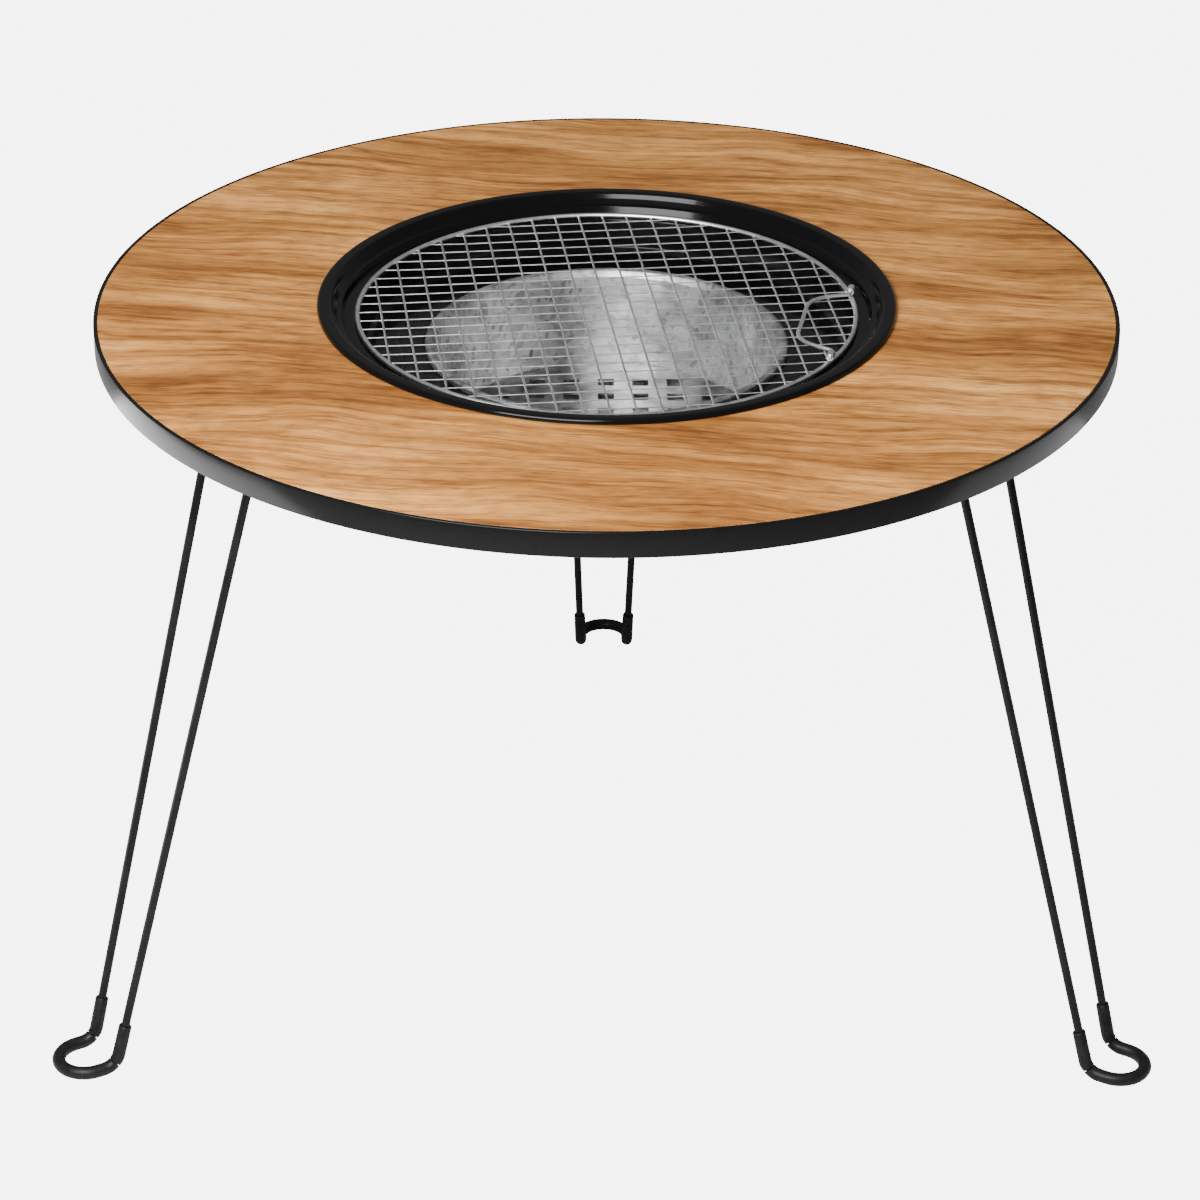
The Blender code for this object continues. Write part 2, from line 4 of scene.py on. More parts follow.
import bpy
import numpy as np
from mathutils import Matrix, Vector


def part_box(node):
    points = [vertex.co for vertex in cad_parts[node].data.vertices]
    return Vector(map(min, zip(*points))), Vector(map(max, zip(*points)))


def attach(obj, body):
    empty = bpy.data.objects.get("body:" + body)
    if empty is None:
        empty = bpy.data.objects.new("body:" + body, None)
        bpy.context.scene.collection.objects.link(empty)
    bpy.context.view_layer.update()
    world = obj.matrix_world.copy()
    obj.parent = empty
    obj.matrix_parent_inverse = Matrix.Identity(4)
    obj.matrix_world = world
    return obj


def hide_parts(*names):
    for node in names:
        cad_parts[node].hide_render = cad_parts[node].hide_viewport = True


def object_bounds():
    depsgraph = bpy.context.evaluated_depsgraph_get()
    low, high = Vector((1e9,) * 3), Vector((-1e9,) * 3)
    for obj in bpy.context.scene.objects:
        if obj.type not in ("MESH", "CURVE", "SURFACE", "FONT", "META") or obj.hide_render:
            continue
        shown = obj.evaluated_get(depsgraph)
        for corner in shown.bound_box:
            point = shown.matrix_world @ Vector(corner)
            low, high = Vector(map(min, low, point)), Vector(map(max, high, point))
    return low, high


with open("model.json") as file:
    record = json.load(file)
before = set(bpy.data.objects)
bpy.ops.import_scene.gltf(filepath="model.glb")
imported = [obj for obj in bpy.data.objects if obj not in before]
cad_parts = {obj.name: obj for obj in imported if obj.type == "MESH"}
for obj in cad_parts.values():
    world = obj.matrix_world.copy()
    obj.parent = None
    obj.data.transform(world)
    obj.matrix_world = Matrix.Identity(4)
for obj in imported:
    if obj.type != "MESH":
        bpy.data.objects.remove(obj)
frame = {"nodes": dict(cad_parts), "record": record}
cad_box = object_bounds()

# ---- The wood-grain laminate on the table top ----
# A ring of decorative laminate pressed on the board: printed wood grain under
# a satin wear layer, trimmed flush with the edge hoop and with the basin hole.
low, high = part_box("wood_laminate")
axis_x = (low[0] + high[0]) / 2
axis_y = (low[1] + high[1]) / 2
top_z = high[2]
top_radius = (high[0] - low[0]) / 2
rim_low, rim_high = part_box("fire_basin")
rim_radius = (rim_high[0] - rim_low[0]) / 2
basin_rim_width = 0.0125
hole_clearance = 0.0026
neck_radius = rim_radius - basin_rim_width
hole_radius = neck_radius + hole_clearance
laminate_thick = 0.0010
bevel = 0.0003


def grid_faces(points, close_u=False, close_v=False):
    """Quads of a parametric grid: points[u, v] are joined to their neighbours
    at u + 1 and v + 1, and a closed direction joins last to first."""
    rows, columns = points.shape[:2]
    index = np.arange(rows * columns).reshape(rows, columns)
    if close_u:
        index = np.vstack([index, index[:1]])
    if close_v:
        index = np.hstack([index, index[:, :1]])
    quads = np.stack([index[:-1, :-1], index[:-1, 1:], index[1:, 1:], index[1:, :-1]], axis=-1)
    return quads.reshape(-1, 4)


def grid_mesh(name, points, close_u=False, close_v=False):
    """Mesh of one parametric grid."""
    return quick_mesh(name, points.reshape(-1, 3), grid_faces(points, close_u, close_v))


def quick_mesh(name, points, quads):
    """Mesh from whole arrays of points and four-sided faces; a face that
    repeats a corner becomes a triangle, and coincident points are merged."""
    points = np.asarray(points, dtype=float)
    key, inverse = np.unique(np.round(points, 8), axis=0, return_inverse=True)
    faces = inverse.reshape(-1)[np.asarray(quads)]
    keep = faces != np.roll(faces, 1, axis=1)
    sides = keep.sum(axis=1)
    faces, keep, sides = faces[sides > 2], keep[sides > 2], sides[sides > 2]
    mesh = bpy.data.meshes.new(name)
    mesh.vertices.add(len(key))
    mesh.vertices.foreach_set("co", key.ravel())
    mesh.loops.add(int(sides.sum()))
    mesh.loops.foreach_set("vertex_index", faces[keep].astype(np.int32))
    mesh.polygons.add(len(sides))
    mesh.polygons.foreach_set("loop_start", np.concatenate([[0], np.cumsum(sides)[:-1]]).astype(np.int32))
    mesh.update(calc_edges=True)
    mesh.validate()
    mesh.shade_smooth()
    mesh.set_sharp_from_angle(angle=math.radians(40))
    return mesh


def piece(name, mesh, finish, body, slot, *nodes):
    """Put a finished mesh in the scene, riding on its body and standing for
    the solids named."""
    made = bpy.data.objects.new(name, mesh)
    bpy.context.scene.collection.objects.link(made)
    mesh.materials.append(finish)
    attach(made, body)
    if nodes:
        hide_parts(*nodes)
    return made


def turned(name, profile, turns=224, closed=True):
    """Surface of revolution about the table's axis: a (radius, height) profile
    at angle a gives (radius cos a, radius sin a, height)."""
    profile = np.asarray(profile, dtype=float)
    angle = np.linspace(0, 2 * math.pi, turns, endpoint=False)
    ring = np.stack([np.cos(angle), np.sin(angle)], axis=-1)
    points = np.empty((len(profile), turns, 3))
    points[:, :, 0] = axis_x + profile[:, None, 0] * ring[None, :, 0]
    points[:, :, 1] = axis_y + profile[:, None, 0] * ring[None, :, 1]
    points[:, :, 2] = profile[:, None, 1]
    return grid_mesh(name, points, close_u=closed, close_v=True)


def shader_of(material):
    """Node tree, its Principled shader and a function that adds a node."""
    material.use_nodes = True
    tree = material.node_tree
    shader = tree.nodes["Principled BSDF"]

    def add(kind, inputs=None, **settings):
        node = tree.nodes.new(kind)
        for key, value in settings.items():
            setattr(node, key, value)
        for key, value in (inputs or {}).items():
            if isinstance(value, bpy.types.NodeSocket):
                tree.links.new(value, node.inputs[key])
            else:
                node.inputs[key].default_value = value
        return node

    return tree, shader, add


def srgb(red, green, blue):
    """Linear colour of an sRGB colour given in 0 to 255."""
    share = np.array([red, green, blue]) / 255
    linear = np.where(share <= 0.04045, share / 12.92, ((share + 0.055) / 1.055) ** 2.4)
    return (*linear.tolist(), 1.0)


def ramped(add, value, stops):
    """Colour that a ramp of (place, colour) stops gives at a socket's value."""
    node = add("ShaderNodeValToRGB", {"Fac": value})
    band = node.color_ramp
    while len(band.elements) < len(stops):
        band.elements.new(0.5)
    for element, (place, colour) in zip(band.elements, stops):
        element.position = place
        element.color = colour
    return node.outputs[0]


def blended(add, kind, share, under, over):
    """Colour of two sockets blended by a share in the named way."""
    return add("ShaderNodeMix", {0: share, 6: under, 7: over}, data_type="RGBA", blend_type=kind).outputs[2]


def dressed(tree, shader, add, colour=None, rough=None, relief=None):
    """Join to a shader its colour, its roughness from (value, least, most) and
    its bumps from (height, strength, distance), where they are given."""
    if colour is not None:
        tree.links.new(colour, shader.inputs["Base Color"])
    if rough:
        value, least, most = rough
        spread = add("ShaderNodeMapRange", {"Value": value, "To Min": least, "To Max": most})
        tree.links.new(spread.outputs[0], shader.inputs["Roughness"])
    if relief:
        height, strength, distance = relief
        bump = add("ShaderNodeBump", {"Height": height, "Strength": strength, "Distance": distance})
        tree.links.new(bump.outputs[0], shader.inputs["Normal"])


wood = bpy.data.materials.new("oak laminate")
tree, shader, add = shader_of(wood)
coord = add("ShaderNodeTexCoord").outputs["Object"]
along = add("ShaderNodeMapping", {"Vector": coord, "Rotation": (0.0, 0.0, math.radians(9))}).outputs[0]
drift = add("ShaderNodeTexNoise", {"Vector": along, "Scale": 4.0, "Detail": 2.0})
centred = add("ShaderNodeVectorMath", {0: drift.outputs["Color"], 1: (0.5, 0.5, 0.5)}, operation="SUBTRACT")
bent = add("ShaderNodeVectorMath", {0: centred.outputs[0], 1: (0.06, 0.075, 0.0)}, operation="MULTIPLY")
grain_at = add("ShaderNodeVectorMath", {0: along, 1: bent.outputs[0]}, operation="ADD").outputs[0]


def stretched(scale, shift, **settings):
    """Noise drawn out along the grain: finer across it than along it."""
    at = add("ShaderNodeMapping", {"Vector": grain_at, "Scale": scale, "Location": shift})
    return add("ShaderNodeTexNoise", {"Vector": at.outputs[0], **settings}).outputs["Fac"]


broad = stretched((1.5, 6.0, 1.0), (4.1, 2.6, 0.0), Scale=2.2, Detail=3.0, Roughness=0.5)
streak = stretched((2.4, 40.0, 1.0), (0.0, 0.0, 0.0), Scale=2.1, Detail=8.0, Roughness=0.66)
vein = stretched((2.0, 26.0, 1.0), (3.7, 1.9, 0.0), Scale=1.6, Detail=5.0, Roughness=0.6)
mottle = stretched((26.0, 60.0, 1.0), (1.1, 0.3, 0.0), Scale=2.0, Detail=5.0, Roughness=0.65)
fibre = stretched((11.0, 420.0, 1.0), (0.0, 0.0, 0.0), Scale=2.0, Detail=2.0, Roughness=0.6)
pore = stretched((28.0, 700.0, 1.0), (0.0, 0.0, 0.0), Scale=1.3, Detail=1.0)
knot_at = add("ShaderNodeMapping", {
    "Vector": grain_at, "Scale": (0.62, 1.7, 1.0), "Location": (0.13, 0.27, 0.0)})
knots = add("ShaderNodeTexVoronoi", {"Vector": knot_at.outputs[0], "Scale": 5.2, "Randomness": 1.0})
colour = ramped(add, broad, [
    (0.35, (0.360, 0.145, 0.033, 1)), (0.45, (0.530, 0.230, 0.055, 1)),
    (0.54, (0.700, 0.320, 0.082, 1)), (0.64, (0.900, 0.440, 0.125, 1))])
plain = (1, 1, 1, 1)
# Each layer of the print darkens the broad tone by its share where it is drawn.
print_layers = (
    (0.9, streak, [(0.33, (0.40, 0.33, 0.27, 1)), (0.43, (0.68, 0.62, 0.56, 1)),
                   (0.54, (0.96, 0.95, 0.94, 1)), (0.72, (1.16, 1.17, 1.18, 1))]),
    (0.8, vein, [(0.450, plain), (0.482, (0.52, 0.44, 0.36, 1)),
                 (0.495, (0.74, 0.68, 0.62, 1)), (0.54, plain)]),
    (0.8, mottle, [(0.36, (0.74, 0.71, 0.68, 1)), (0.50, (0.98, 0.98, 0.98, 1)),
                   (0.66, (1.14, 1.14, 1.14, 1))]),
    (0.8, knots.outputs["Distance"], [(0.0, (0.36, 0.28, 0.22, 1)), (0.040, (0.55, 0.47, 0.40, 1)),
                 (0.10, (0.86, 0.83, 0.80, 1)), (0.18, plain)]),
    (0.8, fibre, [(0.36, (0.76, 0.72, 0.68, 1)), (0.56, plain), (0.70, (1.08, 1.08, 1.08, 1))]),
    (0.8, pore, [(0.30, (0.50, 0.40, 0.32, 1)), (0.38, plain)]),
)
for share, drawn, stops in print_layers:
    colour = blended(add, "MULTIPLY", share, colour, ramped(add, drawn, stops))
shader.inputs["Specular IOR Level"].default_value = 0.22
dressed(tree, shader, add, colour, (streak, 0.52, 0.42), (fibre, 0.10, 0.0004))

piece("wood_laminate_look", turned("wood_laminate_look", [
    (hole_radius, top_z - laminate_thick), (hole_radius, top_z - bevel), (hole_radius + bevel, top_z),
    (top_radius - bevel, top_z), (top_radius, top_z - bevel), (top_radius, top_z - laminate_thick)][::-1]),
    wood, "table", "wood_laminate", "wood_laminate")

# ---- The board under the laminate ----
# A ring of fibreboard sawn to a circle.  Its underside and the wall of the
# hole are left raw, so they show the fine speckle of pressed fibres.
underside_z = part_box("tabletop_board")[0][2]
board_gap = 0.00005
fibreboard = bpy.data.materials.new("raw fibreboard")
tree, shader, add = shader_of(fibreboard)
coord = add("ShaderNodeTexCoord").outputs["Object"]
speck = add("ShaderNodeTexNoise", {"Vector": coord, "Scale": 900.0, "Detail": 4.0, "Roughness": 0.7})
cloud = add("ShaderNodeTexNoise", {"Vector": coord, "Scale": 12.0, "Detail": 3.0})
total = add("ShaderNodeMath", {0: speck.outputs["Fac"], 1: cloud.outputs["Fac"]}, operation="ADD")
mean = add("ShaderNodeMath", {0: total.outputs[0], 1: 0.5}, operation="MULTIPLY")
shade = ramped(add, mean.outputs[0], [
    (0.36, srgb(112, 84, 58)), (0.50, srgb(146, 113, 80)), (0.64, srgb(172, 138, 100))])
shader.inputs["Roughness"].default_value = 0.86
dressed(tree, shader, add, shade, relief=(speck.outputs["Fac"], 0.25, 0.0003))

board_top = top_z - laminate_thick - board_gap
piece("tabletop_board_look", turned("tabletop_board_look", [
    (hole_radius, underside_z + bevel), (hole_radius, board_top), (top_radius, board_top),
    (top_radius, underside_z), (hole_radius + bevel, underside_z)][::-1]),
    fibreboard, "table", "mdf_board", "tabletop_board")

# ---- The black edge hoop ----
# A hoop of glossy black plastic pressed round the board.  It is flush with
# the laminate on top, hangs a little below the underside, and has soft corners.
band_low, band_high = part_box("edge_band")
table_radius = (band_high[0] - band_low[0]) / 2


def rounded_section(low_r, high_r, low_z, high_z, radius, steps=6):
    """Rectangle in (radius, height) with quarter-circle corners."""
    centres = np.array([[high_r - radius, high_z - radius], [high_r - radius, low_z + radius],
                        [low_r + radius, low_z + radius], [low_r + radius, high_z - radius]])
    start = np.array([0.5, 0.0, -0.5, -1.0]) * math.pi
    turn = np.linspace(0, -math.pi / 2, steps)
    angle = start[:, None] + turn[None, :]
    arcs = centres[:, None, :] + radius * np.stack([np.cos(angle), np.sin(angle)], axis=-1)
    return arcs.reshape(-1, 2)


gloss_black = bpy.data.materials.new("gloss black edge")
tree, shader, add = shader_of(gloss_black)
coord = add("ShaderNodeTexCoord").outputs["Object"]
shader.inputs["Base Color"].default_value = (0.0050, 0.0048, 0.0048, 1)
shader.inputs["Specular IOR Level"].default_value = 0.15
scuff = add("ShaderNodeTexNoise", {"Vector": coord, "Scale": 60.0, "Detail": 5.0})
ripple = add("ShaderNodeTexNoise", {"Vector": coord, "Scale": 34.0, "Detail": 1.0})
dressed(tree, shader, add, rough=(scuff.outputs["Fac"], 0.14, 0.24),
        relief=(ripple.outputs["Fac"], 0.06, 0.001))

hoop_gap = 0.0001
hoop_proud = 0.0002
hoop_corner = 0.0009
hoop_section = rounded_section(top_radius + hoop_gap, table_radius,
                               band_low[2], top_z + hoop_proud, hoop_corner)
piece("edge_band_look", turned("edge_band_look", hoop_section[::-1], turns=320),
    gloss_black, "table", "black_edge_plastic", "edge_band")

# ---- The three hairpin legs ----
# Each is one length of steel rod bent to a long U and coated satin black.
# Its top ends turn outwards as pivot pins, and its foot bends out flat on the floor.
leg_azimuths = (90.0, 210.0, 330.0)
leg_joints = {joint["child"]: joint for joint in frame["record"]["behaviour"]["joints"]}
rod_radius = 0.0034
pivot_radius = 0.3200
pivot_z = leg_joints["leg_1"]["pos_m"][2]
sleeve_radius = 0.0053
foot_z = cad_box[0][2] + sleeve_radius
leg_top_half = 0.0388
leg_foot_half = 0.0218
foot_bend_radius = 0.4580
foot_length = 0.0380
rod_bend = 0.0075
foot_bend = 0.0140
pin_length = 0.0140


def filleted(corners, radii, steps=14):
    """Line through corners whose inner corners are arcs: each arc turns about
    the point on the bisector where a circle of the radius touches both sides."""
    corners = np.asarray(corners, dtype=float)
    back = corners[:-2] - corners[1:-1]
    ahead = corners[2:] - corners[1:-1]
    back = back / np.linalg.norm(back, axis=1, keepdims=True)
    ahead = ahead / np.linalg.norm(ahead, axis=1, keepdims=True)
    half = np.arccos(np.clip((back * ahead).sum(axis=1), -1, 1)) / 2
    radii = np.asarray(radii, dtype=float)
    reach = (radii / np.tan(half))[:, None]
    middle = back + ahead
    middle = middle / np.linalg.norm(middle, axis=1, keepdims=True)
    centre = corners[1:-1] + middle * (radii / np.sin(half))[:, None]
    first = corners[1:-1] + back * reach - centre
    last = corners[1:-1] + ahead * reach - centre
    turn = (math.pi - 2 * half)[:, None, None]
    part = np.linspace(0, 1, steps)[None, :, None]
    swing = first[:, None] * np.sin((1 - part) * turn) + last[:, None] * np.sin(part * turn)
    arcs = centre[:, None] + swing / np.sin(turn)
    return np.vstack([corners[:1], arcs.reshape(-1, corners.shape[1]), corners[-1:]])


def swept(path, radius, sides, upright, closed=False):
    """Round tube along a path: at each point the circle of the radius lies
    across the path's direction, turned from the upright reference."""
    path = np.asarray(path, dtype=float)
    if closed:
        along = np.roll(path, -1, axis=0) - np.roll(path, 1, axis=0)
    else:
        step = np.diff(path, axis=0)
        step = step / np.linalg.norm(step, axis=1, keepdims=True)
        along = np.vstack([step[:1], step[:-1] + step[1:], step[-1:]])
    along = along / np.linalg.norm(along, axis=1, keepdims=True)
    side = np.cross(along, np.asarray(upright, dtype=float)[None])
    side = side / np.linalg.norm(side, axis=1, keepdims=True)
    over = np.cross(side, along)
    angle = np.linspace(0, -2 * math.pi, sides, endpoint=False)
    reach = np.broadcast_to(np.asarray(radius, dtype=float), (len(path),))[:, None, None]
    circle = np.cos(angle)[None, :, None] * side[:, None] + np.sin(angle)[None, :, None] * over[:, None]
    return path[:, None] + reach * circle


def capped(rings, path):
    """Close a tube's two ends with one point each on its path."""
    first = np.repeat(np.asarray(path[:1])[None], rings.shape[1], axis=1)
    last = np.repeat(np.asarray(path[-1:])[None], rings.shape[1], axis=1)
    return np.vstack([first, rings, last])


def spun(points, turn, centre):
    """Points turned about the vertical by an angle and moved to a centre."""
    out = np.array(points, dtype=float)
    x, y = out[..., 0].copy(), out[..., 1].copy()
    out[..., 0] = centre[0] + x * math.cos(turn) - y * math.sin(turn)
    out[..., 1] = centre[1] + x * math.sin(turn) + y * math.cos(turn)
    out[..., 2] += centre[2]
    return out


def placed(points, azimuth, height):
    """Turn leg-frame points (along the pin, outward, up) to their place."""
    outward = np.asarray(points, dtype=float) + (0, pivot_radius, 0)
    return spun(outward, math.radians(azimuth - 90), (axis_x, axis_y, height))


def with_foot(half, toe):
    """Add the half circle of the foot and the mirror image of the first half."""
    angle = np.linspace(0, math.pi, 26)[1:-1]
    loop = np.stack([leg_foot_half * np.cos(angle), toe[1] + leg_foot_half * np.sin(angle),
                     np.full(angle.shape, toe[2])], axis=-1)
    return np.vstack([half, loop, half[::-1] * (-1, 1, 1)])


satin_black = bpy.data.materials.new("satin black coating")
tree, shader, add = shader_of(satin_black)
coord = add("ShaderNodeTexCoord").outputs["Object"]
tint = add("ShaderNodeTexNoise", {"Vector": coord, "Scale": 45.0, "Detail": 4.0})
shade = ramped(add, tint.outputs["Fac"], [
    (0.35, (0.004, 0.004, 0.0044, 1)), (0.65, (0.009, 0.0088, 0.0088, 1))])
shader.inputs["Specular IOR Level"].default_value = 0.20
peel = add("ShaderNodeTexNoise", {"Vector": coord, "Scale": 1400.0, "Detail": 1.0})
dressed(tree, shader, add, shade, (tint.outputs["Fac"], 0.28, 0.42), (peel.outputs["Fac"], 0.12, 0.0002))

shoulder = np.array([leg_top_half, 0.0, 0.0])
knee = np.array([leg_foot_half, foot_bend_radius - pivot_radius, foot_z - pivot_z])
toe = np.array([leg_foot_half, knee[1] + foot_length - leg_foot_half, knee[2]])
pin_end = shoulder + (pin_length, 0, 0)
rod_path = with_foot(filleted([pin_end, shoulder, knee, toe], [rod_bend, foot_bend]), toe)
lean = (0.0, -0.7071, 0.7071)
rod_rings = capped(swept(rod_path, rod_radius, 20, lean), rod_path)
for number, azimuth in enumerate(leg_azimuths, 1):
    name = f"hairpin_leg_{number}"
    rod = grid_mesh(f"{name}_look", placed(rod_rings, azimuth, pivot_z), close_v=True)
    piece(f"{name}_look", rod, satin_black, f"leg_{number}", "black_coated_steel", name)

# ---- The foot sleeves ----
# Black soft plastic tube pushed over the foot of each leg and round its bends,
# so that bare rod never touches the floor.  Its cut ends are slightly rounded.
sleeve_gap = 0.0002
sleeve_height = 0.0360
sleeve_bore = rod_radius + sleeve_gap
slope = (shoulder - knee) / np.linalg.norm(shoulder - knee)
sleeve_start = knee + slope * (sleeve_height / slope[2])
sleeve_path = with_foot(filleted([sleeve_start, knee, toe], [foot_bend]), toe)
soft_black = bpy.data.materials.new("soft black tube")
tree, shader, add = shader_of(soft_black)
coord = add("ShaderNodeTexCoord").outputs["Object"]
tint = add("ShaderNodeTexNoise", {"Vector": coord, "Scale": 120.0, "Detail": 5.0, "Roughness": 0.6})
shade = ramped(add, tint.outputs["Fac"], [(0.35, (0.006, 0.006, 0.006, 1)), (0.70, (0.014, 0.0136, 0.013, 1))])
shader.inputs["Specular IOR Level"].default_value = 0.20
dressed(tree, shader, add, shade, (tint.outputs["Fac"], 0.34, 0.52), (tint.outputs["Fac"], 0.10, 0.0004))
lip_along = np.array([0.0, 0.0004, 0.0009])
lip_inset = np.array([0.0009, 0.0004, 0.00012])
first_step = sleeve_path[1] - sleeve_path[0]
cut_end = sleeve_path[0] + first_step / np.linalg.norm(first_step) * lip_along[:, None]
tube_path = np.vstack([cut_end, sleeve_path[1:-1], cut_end[::-1] * (-1, 1, 1)])
tube_radius = np.concatenate([sleeve_radius - lip_inset, np.full(len(sleeve_path) - 2, sleeve_radius),
                              sleeve_radius - lip_inset[::-1]])
tube_rings = np.vstack([swept(tube_path, tube_radius, 28, lean), swept(tube_path, sleeve_bore, 28, lean)[::-1]])
for number, azimuth in enumerate(leg_azimuths, 1):
    name = f"foot_sleeve_{number}"
    tube = grid_mesh(f"{name}_look", placed(tube_rings, azimuth, pivot_z), close_u=True, close_v=True)
    piece(f"{name}_look", tube, soft_black, f"leg_{number}", "black_rubber", name)

# ---- The leg brackets ----
# Pressed steel plates coated satin black: a flat base screwed under the board,
# with two round-ended ears folded down that the pins of a leg turn in.
ear_clearance = 0.0085
ear_offset = leg_top_half + ear_clearance
ear_radius = 0.0100
pin_clearance = 0.0004
plate = 0.0020
plate_edge = 0.0004
flange = 0.0245
bracket_half = np.array([ear_offset + flange, 0.0180])
bracket_corner = 0.0050
seat_gap = 0.0003
bracket_top = underside_z - seat_gap


def slab(outline, low_z, high_z, edge):
    """Flat plate with softened edges: its outline is shrunk to the middle in
    both faces, and drawn in by the edge radius beside each face."""
    middle = outline.mean(axis=0)
    inner = middle + (outline - middle) * (1 - edge / np.linalg.norm(outline - middle, axis=1, keepdims=True))
    point = np.repeat(middle[None], len(outline), axis=0)
    rows = [(point, high_z), (inner, high_z), (outline, high_z - edge),
            (outline, low_z + edge), (inner, low_z), (point, low_z)]
    return np.stack([np.column_stack([loop, np.full(len(outline), height)]) for loop, height in rows])[:, ::-1]


def round_rectangle(half, corner, count=24):
    """Outline of a rectangle with round corners, anticlockwise."""
    angle = np.linspace(0, math.pi / 2, count)[None, :] + np.array([0, 0.5, 1, 1.5])[:, None] * math.pi
    sign = np.array([[1, 1], [-1, 1], [-1, -1], [1, -1]])[:, None]
    arcs = corner * np.stack([np.cos(angle), np.sin(angle)], axis=-1)
    return (sign * (half - corner) + arcs).reshape(-1, 2)


def ear_shape(hole, count=72):
    """Ear seen along the pin: loops about the pin hole, out to a half circle
    below and to the straight sides and base plate above."""
    angle = np.linspace(0, 2 * math.pi, count, endpoint=False)
    across, up = np.cos(angle), np.sin(angle)
    sides = ear_radius / np.maximum(np.abs(across), 1e-6)
    roof = np.where(up > 0, (bracket_top - plate * 0.5 - pivot_z) / np.maximum(up, 1e-6), 1.0)
    reach = np.where(up > 0, np.minimum(sides, roof), ear_radius)
    outer = np.stack([across * reach, up * reach], axis=-1)
    inner = np.stack([across * hole, up * hole], axis=-1)
    return outer, inner


def joined_mesh(name, shells):
    """One mesh of several (points, faces) shells, numbered on from each other."""
    starts = np.cumsum([0] + [len(points) for points, faces in shells])
    return quick_mesh(name, np.vstack([points for points, faces in shells]),
                      np.vstack([faces + start for start, (points, faces) in zip(starts, shells)]))


base = slab(round_rectangle(bracket_half, bracket_corner), -plate, 0.0, plate_edge)
outer, inner = ear_shape(rod_radius + pin_clearance)
chamfer = outer * 0.97
for number, azimuth in enumerate(leg_azimuths, 1):
    seat = placed(base, azimuth, bracket_top)
    shells = [(seat.reshape(-1, 3), grid_faces(seat, close_v=True))]
    for side in (-1, 1):
        x = side * ear_offset
        rows = [(inner, x - plate / 2), (chamfer, x - plate / 2), (outer, x - plate * 0.3),
                (outer, x + plate * 0.3), (chamfer, x + plate / 2), (inner, x + plate / 2)]
        ear = np.stack([np.column_stack([np.full(len(loop), offset), loop]) for loop, offset in rows])
        ear = placed(ear, azimuth, pivot_z)
        # The ear's loops run the other way round from the plate's, so its faces are turned over.
        shells.append((ear.reshape(-1, 3), grid_faces(ear, close_u=True, close_v=True)[:, (0, 3, 2, 1)]))
    name = f"leg_bracket_{number}"
    mesh = joined_mesh(f"{name}_look", shells)
    piece(f"{name}_look", mesh, satin_black, "table", "black_coated_steel", name)

# ---- The bracket screws ----
# Small zinc-plated pan-head wood screws, four to a bracket.  Each head is a
# shallow dome with a cross recess pressed in.
zinc = bpy.data.materials.new("zinc plate")
tree, shader, add = shader_of(zinc)
coord = add("ShaderNodeTexCoord").outputs["Object"]
cloud = add("ShaderNodeTexNoise", {"Vector": coord, "Scale": 400.0, "Detail": 3.0})
shade = ramped(add, cloud.outputs["Fac"], [(0.3, (0.42, 0.42, 0.40, 1)), (0.7, (0.62, 0.61, 0.58, 1))])
shader.inputs["Metallic"].default_value = 1.0
dressed(tree, shader, add, shade, (cloud.outputs["Fac"], 0.26, 0.42))


def screw_points(x, y, seat):
    """Pan-head screw, point up: rings run from the tip down the shank, out
    over the seat and round the rim, then in over the dome.  The cross recess
    lowers the dome where either arm's distance is under its half width."""
    angle = np.linspace(0, 2 * math.pi, 48, endpoint=False)
    dome = np.linspace(1, 0, 15)
    head = 0.0042
    radius = np.concatenate([[0.0, 0.0019, 0.0019, head], head * np.sin(dome * math.pi / 2)])
    drop = np.concatenate([[-0.0110, -0.0080, 0.0, 0.0], 0.0006 + 0.0016 * np.cos(dome * math.pi / 2)])
    px = radius[:, None] * np.cos(angle)
    py = radius[:, None] * np.sin(angle)
    width = np.minimum(np.abs(px), np.abs(py))
    length = np.maximum(np.abs(px), np.abs(py))
    recess = 0.0011 * np.clip(1.5 - width / 0.00045, 0, 1) * np.clip(4.5 - length / 0.0006, 0, 1)
    recess[:5] = 0
    return np.stack([x + px, y + py, seat - drop[:, None] + recess], axis=-1)


screw_inset = 0.0090
screw_across = 0.0110
head_gap = 0.0001
count = 0
for azimuth in leg_azimuths:
    for along in (screw_inset - bracket_half[0], bracket_half[0] - screw_inset):
        for across in (-screw_across, screw_across):
            count += 1
            spot = placed([along, across, 0.0], azimuth, 0.0)
            points = screw_points(spot[0], spot[1], bracket_top - plate - head_gap)
            name = f"bracket_screw_{count}"
            mesh = grid_mesh(f"{name}_look", points[::-1], close_v=True)
            piece(f"{name}_look", mesh, zinc, "table", "zinc_screw", name)

# ---- The fire basin ----
# A deep basin pressed from one steel sheet and enamelled gloss black.  Its
# rolled rim lies on the laminate, and steps hold the net and the charcoal pot.
sheet = 0.0012
net_step_inset = 0.0080
net_step_width = 0.0115
net_step_drop = 0.0105
wall_inset = 0.0090
ledge_width = 0.0485
ledge_drop = 0.0370
basin_depth = 0.1290
floor_bend = 0.0060
step_radius = neck_radius - net_step_inset
shelf_radius = step_radius - net_step_width
well = shelf_radius - wall_inset - ledge_width


